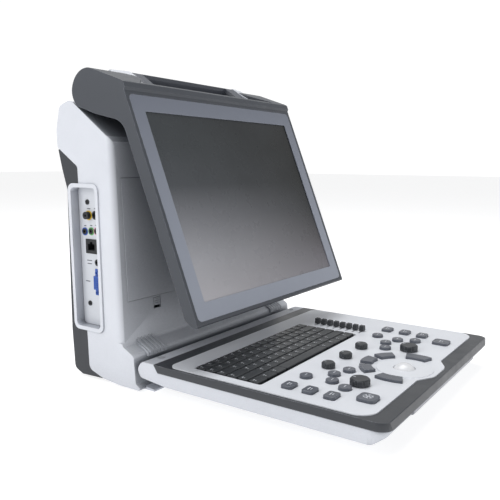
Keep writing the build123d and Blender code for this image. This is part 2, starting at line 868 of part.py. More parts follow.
def front_grip():
    """Grey lip under the panel's front edge."""
    lip = [(-220.6, 30.2, 0.8), (-220.2, 25.4, 2.5), (-214.0, 24.0, 2.0), (-208.4, 24.0, 0), (-208.4, 30.2, 0)]
    return profile(lip, -107.0, 107.0)


def panel_hinge_pins():
    return pair(rod_x(fold_cheek_x, fold_axis, fold_pin_radius))


def screw_plugs():
    """Round plugs in the white strip over the hinge."""
    plug = rod_z((37.3, 39.2), (150, 76.5), 5.0)
    return pair(plug)


def keyboard_deck():
    """Tray that carries the keyboard, fixed under the control plate."""
    deck = block((-163, 80.5), (-76, 20.5), (34.3, plate_top - plate_thickness))
    return deck - block(well_x, well_y, (36.3, 50))


def control_board():
    board = block((-160, 160), (-192, 30), (29, 30.6))
    board -= rod_z((20, 40), ball_centre[:2], 21)
    for step in range(6):
        x = -130 + 50 * step
        board -= block((x, x + 24), (-60, -36), (32, 33))
        board += block((x, x + 20), (-60, -40), (26.4, 29))
    return board


# ------------------------------------------------------------------ control panel: keys and knobs
rect_key_places = [(-146, -99.8), (-146, -124.4), (-146.5, -149.3), (121.5, -99.3), (121, -124.4), (119.5, -149.1)]
square_key_place = (103.0, -180.0)
freeze_place = (-131.3, -181.5)
oval_key_places = [
    (-110.8, -99.9),
    (-86.9, -121.9),
    (-65.8, -129.9),
    (-107.9, -130.1),
    (-118.7, -150.3),
    (85.0, -99.8),
    (60.0, -121.7),
    (38.4, -129.8),
    (81.2, -129.4),
    (89.8, -150.1),
]
rect_key_size = (17.0, 13.0)
square_key_size = (20.0, 20.0)
oval_key_size = (15.0, 14.0)
arc_keys_at = [(180, 18), (0, 18), (129, 14), (89, 13), (51, 14)]   # middle and half of each arc, degrees
small_knobs = [(-68.0, -104.8), (-23.5, -104.9), (22.5, -104.4)]
large_knobs = [(-98.3, -157.7), (48.5, -156.7)]
slider_x = 98.0
slider_first_y = -2.0
slider_pitch = 9.9
slider_count = 8
slider_travel = 10.0


def rect_key(place, size, radius, grow, z):
    x = (place[0] - size[0] / 2 - grow, place[0] + size[0] / 2 + grow)
    y = (place[1] - size[1] / 2 - grow, place[1] + size[1] / 2 + grow)
    return rounded_block(x, y, z, radius + grow)


def oval_key(place, grow, z):
    face = Ellipse(oval_key_size[0] / 2 + grow, oval_key_size[1] / 2 + grow)
    return Pos(place[0], place[1], z[0]) * extrude(face, z[1] - z[0])


def arc_key(middle, half, grow, z):
    """Part of a ring round the trackball."""
    inner = arc_radii[0] - grow
    outer = arc_radii[1] + grow
    ring = rod_z(z, ball_centre[:2], outer) - rod_z(z, ball_centre[:2], inner)
    spread = half + math.degrees(grow / arc_radii[0])
    reach = 80.0
    start = math.radians(middle - spread)
    end = math.radians(middle + spread)
    x, y = ball_centre[:2]
    corners = [
        (x, y, 0),
        (x + reach * math.cos(start), y + reach * math.sin(start), 0),
        (x + reach * math.cos(end), y + reach * math.sin(end), 0),
    ]
    return ring & plan(corners, *z)


def keyboard_rows():
    """Key widths of each row behind the function row, in key units."""
    return [
        [1] * 13 + [2],
        [1.5] + [1] * 12 + [1.5],
        [1.75] + [1] * 11 + [2.25],
        [2.25] + [1] * 10 + [2.75],
        [1.25] * 3 + [6.25] + [1.25] * 4,
    ]


def key_row(widths, unit, y_mid):
    """One row of separate keycaps, tapered towards the top."""
    keys = []
    x = well_x[0] + 1.0
    for width in widths:
        low = x + 0.7
        high = x + width * unit - 0.7
        base = rounded_block((low, high), (y_mid - key_depth / 2, y_mid + key_depth / 2), (38.6, 41.8), 1.2)
        keys.append(chamfer(base.faces().sort_by(Axis.Z)[-1].edges(), 0.6))
        x += width * unit
    return keys


def keyboard_keys():
    """Function row and five rows of typing keys."""
    keys = key_row([1] * 16, key_unit * 15 / 16, key_rows_y[0])
    for widths, y_mid in zip(keyboard_rows(), key_rows_y[1:]):
        keys += key_row(widths, key_unit, y_mid)
    return keys


def raised_keys(grow, z):
    """Every separate key beside the keyboard, as solids between two heights."""
    rects = [rect_key(place, rect_key_size, 3.0, grow, z) for place in rect_key_places]
    rects.append(rect_key(square_key_place, square_key_size, 4.0, grow, z))
    ovals = [oval_key(place, grow, z) for place in oval_key_places]
    arcs = [arc_key(middle, half, grow, z) for middle, half in arc_keys_at]
    freeze = rect_key(freeze_place, square_key_size, 5.0, grow, z)
    return rects, ovals, arcs, freeze


def control_plate():
    """White plate with openings for everything the user touches."""
    z = (plate_top - plate_thickness, plate_top)
    plate = plan(plate_outline(0), *z)
    plate -= rounded_block(well_x, well_y, (30, 50), 3.0)
    rects, ovals, arcs, freeze = raised_keys(key_gap, (30, 50))
    for opening in rects + ovals + arcs + [freeze]:
        plate -= opening
    for place in small_knobs + large_knobs:
        plate -= rod_z((30, 50), place, 3.4)
    plate -= rod_z((30, 50), ball_centre[:2], 15.5)
    for step in range(slider_count):
        y = slider_first_y - slider_pitch * step
        reach = slider_travel + 2.0
        plate -= block((slider_x - reach, slider_x + reach), (y - 1.0, y + 1.0), (30, 50))
    return plate


def trackball_ring():
    """White collar that holds the ball down."""
    ring = rod_z((plate_top, plate_top + 0.9), ball_centre[:2], 32.0)
    ring = chamfer(ring.faces().sort_by(Axis.Z)[-1].edges(), 0.6)
    return ring - rod_z((30, 50), ball_centre[:2], 12.4)


def trackball():
    return Pos(*ball_centre) * Sphere(ball_radius)


def knob(place, radius, height, flute_radius):
    """Low round knob with eight flutes, on a shaft that passes through the plate."""
    z_low = plate_top + 0.5
    cap = rod_z((z_low, z_low + height), place, radius)
    cap = chamfer(cap.faces().sort_by(Axis.Z)[-1].edges(), 1.5)
    reach = radius + 0.55 * flute_radius
    for step in range(8):
        angle = 2 * math.pi * step / 8
        middle = (place[0] + reach * math.cos(angle), place[1] + reach * math.sin(angle))
        cap -= rod_z((z_low + 1.6, z_low + height + 1), middle, flute_radius)
    return cap + rod_z((31.2, z_low), place, 3.0)


def slider(step):
    """Gain slider: a thumb cap on a flat stem."""
    y = slider_first_y - slider_pitch * step
    stem = block((slider_x - 1.6, slider_x + 1.6), (y - 0.6, y + 0.6), (33.0, plate_top + 0.6))
    side = [
        (slider_x - 4.0, plate_top + 0.6, 0.5),
        (slider_x + 4.0, plate_top + 0.6, 0.5),
        (slider_x + 3.0, plate_top + 8.6, 1.0),
        (slider_x, plate_top + 7.4, 2.0),
        (slider_x - 3.0, plate_top + 8.6, 1.0),
    ]
    return stem + elevation(side, y - 3.2, y + 3.2)


# ------------------------------------------------------------------ write every sub-part
os.makedirs("parts", exist_ok=True)

save("main_housing", main_housing())
save("rear_cover", rear_cover())
save("port_bezel", port_bezel())
save("port_plate", port_plate())
save("av_jacks", *av_jacks())
save("network_jack", network_jack())
save("display_connector", display_connector())
save("probe_sockets", *probe_sockets())
save("battery_door", battery_door())
save("battery_latch", battery_latch())
save("base_foot_bar", base_foot_bar())
save("rubber_feet", *rubber_feet())
save("monitor_hinge_brackets", monitor_hinge_brackets())
save("panel_hinge_arms", panel_hinge_arms())
save("panel_hinge_covers", panel_hinge_covers())
save("chassis_frame", chassis_frame())
save("main_board", main_board())
save("power_supply", power_supply())
save("battery_pack", battery_pack())
save("disk_drive", disk_drive())
save("fan_housing", fan_housing())
save("fan_rotor", fan_rotor())
save("power_inlet", power_inlet())
save("housing_screws", *housing_screws())

save("monitor_shell", monitor_shell())
save("monitor_bezel", monitor_bezel())
save("screen_glass", screen_glass())
save("lcd_module", lcd_module())
save("lcd_driver_board", lcd_driver_board())
save("monitor_hinge_shafts", monitor_hinge_shafts())
save("handle_grip", grip_solid())
save("handle_trims", pair(trim_solid()))

save("panel_frame", panel_frame())
save("panel_tray", panel_tray())
save("control_plate", control_plate())
save("keyboard_deck", keyboard_deck())
save("control_board", control_board())
save("trackball_ring", trackball_ring())
save("screw_plugs", screw_plugs())
save("front_grip", front_grip())
save("panel_hinge_pins", panel_hinge_pins())

key_heights = (key_bottom, key_top)
rect_caps, oval_caps, arc_caps, freeze_cap = raised_keys(0, key_heights)
save("side_keys", *rect_caps)
save("oval_keys", *oval_caps)
save("arc_keys", *arc_caps)
save("freeze_key", freeze_cap)
save("keyboard_keys", *keyboard_keys())
save("trackball", trackball())
for number, place in enumerate(small_knobs, start=1):
    save("knob_" + str(number), knob(place, 7.8, 6.6, 1.6))
for name, place in zip(("dial_left", "dial_right"), large_knobs):
    save(name, knob(place, 10.8, 7.4, 2.2))
for step in range(slider_count):
    save("gain_slider_" + str(step + 1), slider(step))
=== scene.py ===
import bpy
import bmesh
import math
from mathutils import Matrix, Vector


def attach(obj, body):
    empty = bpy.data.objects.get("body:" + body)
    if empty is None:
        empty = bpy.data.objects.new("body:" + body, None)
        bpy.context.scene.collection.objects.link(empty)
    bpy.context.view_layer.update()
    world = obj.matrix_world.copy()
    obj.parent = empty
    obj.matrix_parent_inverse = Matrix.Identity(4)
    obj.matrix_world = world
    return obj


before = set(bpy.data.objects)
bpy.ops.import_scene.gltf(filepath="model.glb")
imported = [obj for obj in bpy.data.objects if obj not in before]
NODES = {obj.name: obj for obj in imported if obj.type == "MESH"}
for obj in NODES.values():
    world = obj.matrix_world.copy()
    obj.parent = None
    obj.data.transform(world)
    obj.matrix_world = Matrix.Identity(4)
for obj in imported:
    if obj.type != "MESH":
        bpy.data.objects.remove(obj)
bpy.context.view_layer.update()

MM = 0.001

# ------------------------------------------------------------------ camera, solved for the photograph's view
CAMERA_PLACE = Vector((-0.67436, -0.41171, 0.27089))
CAMERA_AZIMUTH = math.radians(-55.319)
CAMERA_ELEVATION = math.radians(8.986)
CAMERA_ROLL = math.radians(0.399)
CAMERA_LENS = 44.15
CAMERA_SHIFT = (0.00396, 0.0197)

# ------------------------------------------------------------------ heights and reaches, in millimetres
KEY_TOP = 43.8                  # keys beside the keyboard
KEYCAP_TOP = 41.8               # keys of the keyboard
INK = 0.12                      # how far a printed mark stands out of its face
SUNK = 0.05                     # and how far it reaches into it


# ------------------------------------------------------------------ named values of the materials, in metres
WEAR_AND_SHEEN_EDGE = 0.0009              # width of the edges of plastic tinted partly as wear and partly as painted highlight
PAINT_EDGE = 0.0006             # width of the worn edges of painted metal
CORNER_REACH = 0.16             # how far round a point the painted occlusion shade looks
SCREEN_SIDES = (-0.156, 0.156)
SCREEN_HEIGHTS = (0.1125, 0.332)

# ------------------------------------------------------------------ named values of the stage
FLOOR_HALF = 14.0
FLOOR_GLOW = 0.80
BACKDROP_STRENGTH = 1.05
AMBIENT_STRENGTH = 0.20
GLOSS_SHARE = 0.55              # how much of the backdrop shows in reflections

# ------------------------------------------------------------------ named values of the edge rounding
MERGE_DISTANCE = 1e-5
FLAT_ANGLE = math.radians(0.6)
SHARP_ANGLE = math.radians(32)
USUAL_ROUNDING = 0.2


# ------------------------------------------------------------------ colours
def linear(hex_colour):
    """Linear RGBA of an sRGB hex colour."""
    values = [int(hex_colour[i:i + 2], 16) / 255 for i in (1, 3, 5)]
    return tuple(v / 12.92 if v <= 0.04045 else ((v + 0.055) / 1.055) ** 2.4 for v in values) + (1.0,)


def scaled(colour, factor):
    """A colour made lighter or darker, held at white."""
    return tuple(min(1.0, c * factor) for c in colour[:3]) + (1.0,)


# ------------------------------------------------------------------ material helpers
class Net:
    """Small helper that adds and links the nodes of one material."""

    def __init__(self, name):
        self.material = bpy.data.materials.new(name)
        self.material.use_nodes = True
        self.tree = self.material.node_tree
        self.shader = self.tree.nodes["Principled BSDF"]
        self.place = self.tree.nodes.new("ShaderNodeTexCoord").outputs["Object"]

    def add(self, kind, **values):
        node = self.tree.nodes.new(kind)
        for key, value in values.items():
            setattr(node, key, value)
        return node

    def link(self, source, target):
        self.tree.links.new(source, target)

    def noise(self, scale, detail=3.0, rough=0.5, stretch=None):
        node = self.add("ShaderNodeTexNoise")
        node.inputs["Scale"].default_value = scale
        node.inputs["Detail"].default_value = detail
        node.inputs["Roughness"].default_value = rough
        source = self.place
        if stretch:
            mapping = self.add("ShaderNodeMapping")
            mapping.inputs["Scale"].default_value = stretch
            self.link(source, mapping.inputs["Vector"])
            source = mapping.outputs["Vector"]
        self.link(source, node.inputs["Vector"])
        return node.outputs["Fac"]

    def ramp(self, source, stops):
        node = self.add("ShaderNodeValToRGB")
        elements = node.color_ramp.elements
        while len(elements) < len(stops):
            elements.new(0.5)
        for element, (position, colour) in zip(elements, stops):
            element.position = position
            element.color = colour
        self.link(source, node.inputs["Fac"])
        return node.outputs["Color"]

    def spread(self, source, low, high, from_low=0.3, from_high=0.7):
        node = self.add("ShaderNodeMapRange")
        node.inputs["From Min"].default_value = from_low
        node.inputs["From Max"].default_value = from_high
        node.inputs["To Min"].default_value = low
        node.inputs["To Max"].default_value = high
        self.link(source, node.inputs["Value"])
        return node.outputs["Result"]

    def mix(self, factor, first, second):
        node = self.add("ShaderNodeMix", data_type="RGBA")
        for socket, value in ((node.inputs["Factor"], factor), (node.inputs["A"], first), (node.inputs["B"], second)):
            if isinstance(value, (float, tuple)):
                socket.default_value = value
            else:
                self.link(value, socket)
        return node.outputs["Result"]

    def bump(self, source, strength, distance):
        node = self.add("ShaderNodeBump")
        node.inputs["Strength"].default_value = strength
        node.inputs["Distance"].default_value = distance
        self.link(source, node.inputs["Height"])
        previous = self.shader.inputs["Normal"]
        if previous.is_linked:
            self.link(previous.links[0].from_socket, node.inputs["Normal"])
        self.link(node.outputs["Normal"], previous)

    def height_shade(self, low, high):
        """Zero at one height of the part and one at another."""
        parts = self.add("ShaderNodeSeparateXYZ")
        self.link(self.place, parts.inputs["Vector"])
        return self.spread(parts.outputs["Z"], 0.0, 1.0, low, high)

    def occlusion(self, reach):
        """One in the open and towards zero in deep corners."""
        node = self.add("ShaderNodeAmbientOcclusion", samples=8)
        node.inputs["Distance"].default_value = reach
        return node.outputs["AO"]

    def edge_mask(self, radius):
        """One along sharp edges and zero on flats, broken up by noise."""
        bevel = self.add("ShaderNodeBevel", samples=4)
        bevel.inputs["Radius"].default_value = radius
        geometry = self.add("ShaderNodeNewGeometry")
        dot = self.add("ShaderNodeVectorMath", operation="DOT_PRODUCT")
        self.link(bevel.outputs["Normal"], dot.inputs[0])
        self.link(geometry.outputs["Normal"], dot.inputs[1])
        mask = self.spread(dot.outputs["Value"], 1.0, 0.0, 0.86, 0.995)
        wear_and_sheen = self.spread(self.noise(140.0, 4.0), 0.25, 1.0, 0.4, 0.62)
        product = self.add("ShaderNodeMath", operation="MULTIPLY")
        self.link(mask, product.inputs[0])
        self.link(wear_and_sheen, product.inputs[1])
        return product.outputs["Value"]


def plastic(name, hex_colour, rough=0.5, grain=1400.0, depth=0.25, wear_and_sheen=None, specular=0.45, painted_height_shade=None,
            painted_occlusion_shade=None):
    """Moulded plastic: fine spark-eroded grain, faint handling marks, edges tinted partly as wear and partly as
    painted highlight, optional painted shade by height and in occluded corners.
    """
    net = Net(name)
    colour = linear(hex_colour)
    cloud = net.noise(7.0, 5.0, 0.6)
    base = net.ramp(cloud, [(0.3, scaled(colour, 0.94)), (0.7, scaled(colour, 1.04))])
    fleck = net.noise(grain * 1.7, 2.0)
    base = net.mix(net.spread(fleck, 0.0, 0.16, 0.45, 0.75), base, scaled(colour, 1.35))
    # painted shade by height: colour fades from the base at the lower height to the given colour at the upper one
    if painted_height_shade:
        base = net.mix(net.height_shade(*painted_height_shade[:2]), base, linear(painted_height_shade[2]))
    # edges tinted partly as wear and partly as painted highlight: the lighter edges on dark plastic stand in for
    # specular edges
    if wear_and_sheen:
        base = net.mix(net.edge_mask(WEAR_AND_SHEEN_EDGE), base, linear(wear_and_sheen))
    # painted shade: colour darkened towards the given one where ambient occlusion finds nearby surfaces, as under the
    # monitor
    if painted_occlusion_shade:
        base = net.mix(net.spread(net.occlusion(CORNER_REACH), 1.0, 0.0, 0.12, 0.62), base, linear(painted_occlusion_shade))
    net.link(base, net.shader.inputs["Base Color"])
    smear = net.noise(26.0, 5.0, 0.65, (1.0, 1.0, 0.45))
    net.link(net.spread(smear, rough - 0.07, rough + 0.07), net.shader.inputs["Roughness"])
    net.shader.inputs["Specular IOR Level"].default_value = specular
    net.bump(net.noise(grain, 2.0, 0.6), depth, 0.00012)
    return net.material


def metal(name, hex_colour, rough=0.35, stretch=(40.0, 900.0, 900.0)):
    """Brushed or rolled metal, with its grain along one axis."""
    net = Net(name)
    colour = linear(hex_colour)
    grain = net.noise(3.0, 6.0, 0.7, stretch)
    base = net.ramp(grain, [(0.25, scaled(colour, 0.82)), (0.75, scaled(colour, 1.1))])
    net.link(base, net.shader.inputs["Base Color"])
    net.shader.inputs["Metallic"].default_value = 1.0
    net.link(net.spread(grain, rough - 0.1, rough + 0.12), net.shader.inputs["Roughness"])
    net.bump(grain, 0.25, 0.00006)
    return net.material


def painted_metal(name, hex_colour, rough=0.4):
    """Powder-coated steel, with orange peel."""
    net = Net(name)
    colour = linear(hex_colour)
    peel = net.noise(520.0, 3.0, 0.5)
    base = net.ramp(net.noise(18.0, 4.0), [(0.3, scaled(colour, 0.88)), (0.7, scaled(colour, 1.1))])
    base = net.mix(net.edge_mask(PAINT_EDGE), base, linear("#8d9096"))
    net.link(base, net.shader.inputs["Base Color"])
    net.link(net.spread(peel, rough - 0.06, rough + 0.1), net.shader.inputs["Roughness"])
    net.bump(peel, 0.3, 0.0001)
    return net.material


def rubber(name, hex_colour):
    """Matt rubber with dust in its pores."""
    net = Net(name)
    colour = linear(hex_colour)
    dust = net.noise(160.0, 6.0, 0.7)
    base = net.ramp(dust, [(0.35, colour), (0.8, scaled(colour, 2.2))])
    net.link(base, net.shader.inputs["Base Color"])
    net.link(net.spread(dust, 0.7, 0.95), net.shader.inputs["Roughness"])
    net.shader.inputs["Specular IOR Level"].default_value = 0.25
    net.bump(net.noise(700.0, 3.0), 0.4, 0.0002)
    return net.material


def circuit_board(name):
    """Green solder mask over copper traces and rows of pads."""
    net = Net(name)
    traces = net.add("ShaderNodeTexBrick")
    traces.inputs["Scale"].default_value = 90.0
    traces.inputs["Mortar Size"].default_value = 0.035
    traces.inputs["Color1"].default_value = linear("#12502c")
    traces.inputs["Color2"].default_value = linear("#175a33")
    traces.inputs["Mortar"].default_value = linear("#2f8a4e")
    net.link(net.place, traces.inputs["Vector"])
    pads = net.add("ShaderNodeTexVoronoi", feature="F1")
    pads.inputs["Scale"].default_value = 240.0
    pads.inputs["Randomness"].default_value = 0.35
    net.link(net.place, pads.inputs["Vector"])
    mask = net.spread(pads.outputs["Distance"], 1.0, 0.0, 0.16, 0.2)
    net.link(net.mix(mask, traces.outputs["Color"], linear("#b9a45e")), net.shader.inputs["Base Color"])
    net.link(net.spread(net.noise(60.0), 0.25, 0.45), net.shader.inputs["Roughness"])
    net.bump(traces.outputs["Fac"], 0.3, 0.00008)
    return net.material


def display_film(name):
    """Anti-glare film over the dark display, with a painted reflection that brightens towards its lower left corner.
    """
    net = Net(name)
    parts = net.add("ShaderNodeSeparateXYZ")
    net.link(net.place, parts.inputs["Vector"])
    across = net.spread(parts.outputs["X"], 0.0, 1.0, *SCREEN_SIDES)
    up = net.spread(parts.outputs["Z"], 0.0, 1.0, *SCREEN_HEIGHTS)
    left = net.ramp(up, PAINTED_REFLECTION_LEFT)
    right = net.ramp(up, PAINTED_REFLECTION_RIGHT)
    painted_reflection = net.mix(across, left, right)
    cloud = net.noise(9.0, 4.0, 0.55)
    painted_reflection = net.mix(net.spread(cloud, 0.0, 0.10), painted_reflection, linear("#6b6f72"))
    net.link(painted_reflection, net.shader.inputs["Base Color"])
    net.link(net.spread(net.noise(40.0, 5.0), 0.24, 0.34), net.shader.inputs["Roughness"])
    net.shader.inputs["Specular IOR Level"].default_value = 0.22
    net.bump(net.noise(2600.0, 1.0), 0.12, 0.00003)
    return net.material


def printed(name, hex_colour):
    """Screen-printed ink, slightly uneven."""
    net = Net(name)
    colour = linear(hex_colour)
    speck = net.noise(1800.0, 3.0)
    base = net.ramp(speck, [(0.3, scaled(colour, 0.85)), (0.7, scaled(colour, 1.08))])
    net.link(base, net.shader.inputs["Base Color"])
    net.link(net.spread(speck, 0.45, 0.65), net.shader.inputs["Roughness"])
    return net.material


# painted reflection down the screen's left and right sides: light at the bottom, dark at the top
PAINTED_REFLECTION_LEFT = [
    (0.00, linear("#b9b7bb")),
    (0.22, linear("#a5a5aa")),
    (0.42, linear("#7e7f84")),
    (0.60, linear("#4a4d51")),
    (0.80, linear("#3d4144")),
    (1.00, linear("#373b3e")),
]
PAINTED_REFLECTION_RIGHT = [
    (0.00, linear("#77747a")),
    (0.22, linear("#4a484b")),
    (0.42, linear("#202224")),
    (0.60, linear("#0d1010")),
    (0.80, linear("#060808")),
    (1.00, linear("#040505")),
]

# ------------------------------------------------------------------ materials of the scanner
# white_case carries painted occlusion shade, which darkens its front wall under the overhanging monitor
white_case = plastic("white_case", "#d6d9e0", 0.42, 1500.0, 0.18, wear_and_sheen="#c3c6cc", painted_occlusion_shade="#767a82")
white_satin = plastic("white_satin", "#e4e7ed", 0.34, 2400.0, 0.10, wear_and_sheen="#c9ccd2")
dark_case = plastic("dark_case", "#2e3136", 0.48, 1200.0, 0.35, wear_and_sheen="#54575e")
monitor_case = plastic("monitor_case", "#3c4047", 0.42, 1200.0, 0.30, wear_and_sheen="#737782")
frame_case = plastic("frame_case", "#33363b", 0.36, 1300.0, 0.30, wear_and_sheen="#7d8088")
# the bezel has painted shade: lighter at its bottom and darker towards its top, standing in for floor bounce light
bezel_case = plastic("bezel_case", "#959aa6", 0.36, 1600.0, 0.18, wear_and_sheen="#a9adb7", painted_height_shade=(0.13, 0.34, "#6f7480"))
grip_case = plastic("grip_case", "#4a4e57", 0.38, 1500.0, 0.18, wear_and_sheen="#7b7f89")
key_case = plastic("key_case", "#555962", 0.30, 2000.0, 0.12, wear_and_sheen="#8b8f99")
keyboard_case = plastic("keyboard_case", "#2b2e31", 0.36, 1900.0, 0.15, wear_and_sheen="#5c6066")
knob_case = plastic("knob_case", "#2c2f33", 0.42, 1700.0, 0.20, wear_and_sheen="#6a6e75")
black_case = plastic("black_case", "#1b1d1f", 0.5, 1500.0, 0.25, wear_and_sheen="#3a3c40")
lip_case = plastic("lip_case", "#9a9ba2", 0.4, 1500.0, 0.18, wear_and_sheen="#b4b6bc")
plug_case = plastic("plug_case", "#a7aab0", 0.45, 1600.0, 0.2)
foot_case = plastic("foot_case", "#cdd0d8", 0.45, 1500.0, 0.2, wear_and_sheen="#b9bcc4")
ball_case = plastic("ball_case", "#e6e7ea", 0.12, 300.0, 0.02, specular=0.6)
blue_case = plastic("blue_case", "#2450a4", 0.35, 1500.0, 0.1)
yellow_case = plastic("yellow_case", "#d9b21c", 0.35, 1500.0, 0.1)
green_case = plastic("green_case", "#5aa457", 0.35, 1500.0, 0.1)
pink_case = plastic("pink_case", "#d58da3", 0.35, 1500.0, 0.1)
battery_wrap = plastic("battery_wrap", "#232529", 0.55, 900.0, 0.3)
plate_metal = plastic("plate_metal", "#cfd2d8", 0.42, 1800.0, 0.15)
sheet_metal = metal("sheet_metal", "#aeb1b4", 0.42, (60.0, 500.0, 60.0))
steel = metal("steel", "#b3b4b6", 0.25)
coated_metal = painted_metal("coated_metal", "#2f3236")
foot_rubber = rubber("foot_rubber", "#161616")
board_green = circuit_board("board_green")
screen_film = display_film("screen_film")
ink_light = printed("ink_light", "#d9dce2")
ink_dark = printed("ink_dark", "#5c6068")

FINISHES = {
    white_case: ["main_housing", "port_bezel", "battery_door", "battery_latch", "panel_tray", "panel_hinge_covers",
                 "handle_trims"],
    white_satin: ["control_plate", "trackball_ring"],
    dark_case: ["rear_cover"],
    monitor_case: ["monitor_shell"],
    frame_case: ["panel_frame"],
    bezel_case: ["monitor_bezel"],
    grip_case: ["handle_grip"],
    key_case: ["side_keys", "oval_keys", "arc_keys", "freeze_key"],
    keyboard_case: ["keyboard_keys"],
    knob_case: ["knob_1", "knob_2", "knob_3", "dial_left", "dial_right"],
    black_case: ["keyboard_deck", "probe_sockets", "power_inlet", "fan_housing", "fan_rotor",
                 "network_jack", "av_jacks"],
    lip_case: ["front_grip"],
    plug_case: ["screw_plugs"],
    foot_case: ["base_foot_bar"],
    ball_case: ["trackball"],
    blue_case: ["display_connector"],
    battery_wrap: ["battery_pack"],
    plate_metal: ["port_plate"],
    sheet_metal: ["chassis_frame", "power_supply", "disk_drive", "lcd_module"],
    steel: ["housing_screws", "monitor_hinge_shafts", "panel_hinge_pins"],
    coated_metal: ["monitor_hinge_brackets", "panel_hinge_arms"],
    foot_rubber: ["rubber_feet"],
    board_green: ["main_board", "control_board", "lcd_driver_board"],
    screen_film: ["screen_glass"],
}
SLIDERS = ["gain_slider_" + str(step + 1) for step in range(8)]
FINISHES[knob_case] += SLIDERS

# rounding of the edges that the CAD left sharp, in millimetres
ROUNDING = {
    "main_housing": 0.6,
    "rear_cover": 0.6,
    "monitor_shell": 0.8,
    "monitor_bezel": 0.45,
    "panel_frame": 0.5,
    "panel_tray": 0.6,
    "front_grip": 0.6,
    "control_plate": 0.25,
    "battery_door": 0.35,
    "port_bezel": 0.4,
    "handle_grip": 1.0,
    "handle_trims": 0.35,
    "side_keys": 0.6,
    "oval_keys": 0.6,
    "arc_keys": 0.6,
    "freeze_key": 0.6,
    "keyboard_keys": 0.15,
    "panel_hinge_covers": 0.3,
    "base_foot_bar": 0.5,
}
LEFT_SHARP = {"trackball", "screen_glass", "fan_rotor", "av_jacks", "housing_screws"}


def finish_nodes():
    """Give every CAD node its material, and rounded edges where they show."""
    for material, names in FINISHES.items():
        for name in names:
            NODES[name].data.materials[0] = material
    for name, node in NODES.items():
        if name in LEFT_SHARP:
            continue
        weld = node.modifiers.new("weld", "WELD")
        weld.merge_threshold = MERGE_DISTANCE
        flat = node.modifiers.new("flat", "DECIMATE")
        flat.decimate_type = "DISSOLVE"
        flat.angle_limit = FLAT_ANGLE
        bevel = node.modifiers.new("rounding", "BEVEL")
        bevel.width = ROUNDING.get(name, USUAL_ROUNDING) * MM
        bevel.segments = 2
        bevel.limit_method = "ANGLE"
        bevel.angle_limit = SHARP_ANGLE
        bevel.use_clamp_overlap = True
        bevel.harden_normals = True


# ------------------------------------------------------------------ printed marks and inserts, in millimetres
class Marks:
    """Thin closed slabs gathered into one piece that moves with a body."""

    def __init__(self, right, up, out):
        self.right, self.up, self.out = Vector(right), Vector(up), Vector(out)
        self.corners, self.faces = [], []

    def slab(self, outline, face, rise=INK):
        """A closed slab over an outline given in right and up, standing on a face."""
        first, count = len(self.corners), len(outline)
        for level in (face - SUNK, face + rise):
            for a, b in outline:
                self.corners.append((self.right * a + self.up * b + self.out * level) * MM)
        self.faces.append([first + i for i in reversed(range(count))])
        self.faces.append([first + count + i for i in range(count)])
        for i in range(count):
            j = (i + 1) % count
            self.faces.append([first + i, first + j, first + count + j, first + count + i])

    def bar(self, place, length, width, face, turn=0.0, rise=INK):
        """A bar with cut corners, turned about its middle."""
        a, b = length / 2, width / 2
        cut = min(a, b) * 0.5
        shape = [(a - cut, -b), (a, cut - b), (a, b - cut), (a - cut, b),
                 (cut - a, b), (-a, b - cut), (-a, cut - b), (cut - a, -b)]
        c, n = math.cos(math.radians(turn)), math.sin(math.radians(turn))
        self.slab([(place[0] + x * c - y * n, place[1] + x * n + y * c) for x, y in shape], face, rise)

    def ring(self, place, inner, outer, face, rise, steps=32):
        """A flat ring with square edges."""
        first = len(self.corners)
        for radius, level in ((inner, face - SUNK), (outer, face - SUNK), (outer, face + rise), (inner, face + rise)):
            for step in range(steps):
                angle = 2 * math.pi * step / steps
                a, b = place[0] + radius * math.cos(angle), place[1] + radius * math.sin(angle)
                self.corners.append((self.right * a + self.up * b + self.out * level) * MM)
        for loop in range(4):
            after = (loop + 1) % 4
            for step in range(steps):
                nxt = (step + 1) % steps
                self.faces.append([first + loop * steps + nxt, first + loop * steps + step,
                                   first + after * steps + step, first + after * steps + nxt])

    def piece(self, name, material, body, slot_name):
        mesh = bpy.data.meshes.new(name)
        mesh.from_pydata([tuple(corner) for corner in self.corners], [], self.faces)
        shape = bmesh.new()
        shape.from_mesh(mesh)
        bmesh.ops.recalc_face_normals(shape, faces=shape.faces)
        shape.to_mesh(mesh)
        shape.free()
        mesh.materials.append(material)
        made = bpy.data.objects.new(name, mesh)
        bpy.context.scene.collection.objects.link(made)
        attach(made, body)


def on_panel():
    return Marks((1, 0, 0), (0, 1, 0), (0, 0, 1))


KEYBOARD_ROWS = [
    (9.8, [15 / 16] * 16),
    (-4.6, [1] * 13 + [2]),
    (-19.1, [1.5] + [1] * 12 + [1.5]),
    (-33.6, [1.75] + [1] * 11 + [2.25]),
    (-48.1, [2.25] + [1] * 10 + [2.75]),
    (-62.6, [1.25] * 3 + [6.25] + [1.25] * 4),
]
KEY_UNIT = 15.7
KEYBOARD_LEFT = -159.0
SPACE_BAR = 6.0                 # a key this many units wide carries no mark
SIDE_KEYS = [(-146, -99.8), (-146, -124.4), (-146.5, -149.3), (121.5, -99.3), (121, -124.4), (119.5, -149.1),
             (103.0, -180.0)]
OVAL_KEYS = [(-110.8, -99.9), (-86.9, -121.9), (-65.8, -129.9), (-107.9, -130.1), (-118.7, -150.3),
             (85.0, -99.8), (60.0, -121.7), (38.4, -129.8), (81.2, -129.4), (89.8, -150.1)]
FREEZE = (-131.3, -181.5)
KNOBS = {"knob_1": (-68.0, -104.8), "knob_2": (-23.5, -104.9), "knob_3": (22.5, -104.4),
         "dial_left": (-98.3, -157.7), "dial_right": (48.5, -156.7)}
PORT_FACE = 166.0               # distance of the socket plate's face to the left of the middle


def top_of(name):
    """Height of a node's highest point in millimetres."""
    node = NODES[name]
    return max((node.matrix_world @ Vector(corner)).z for corner in node.bound_box) / MM


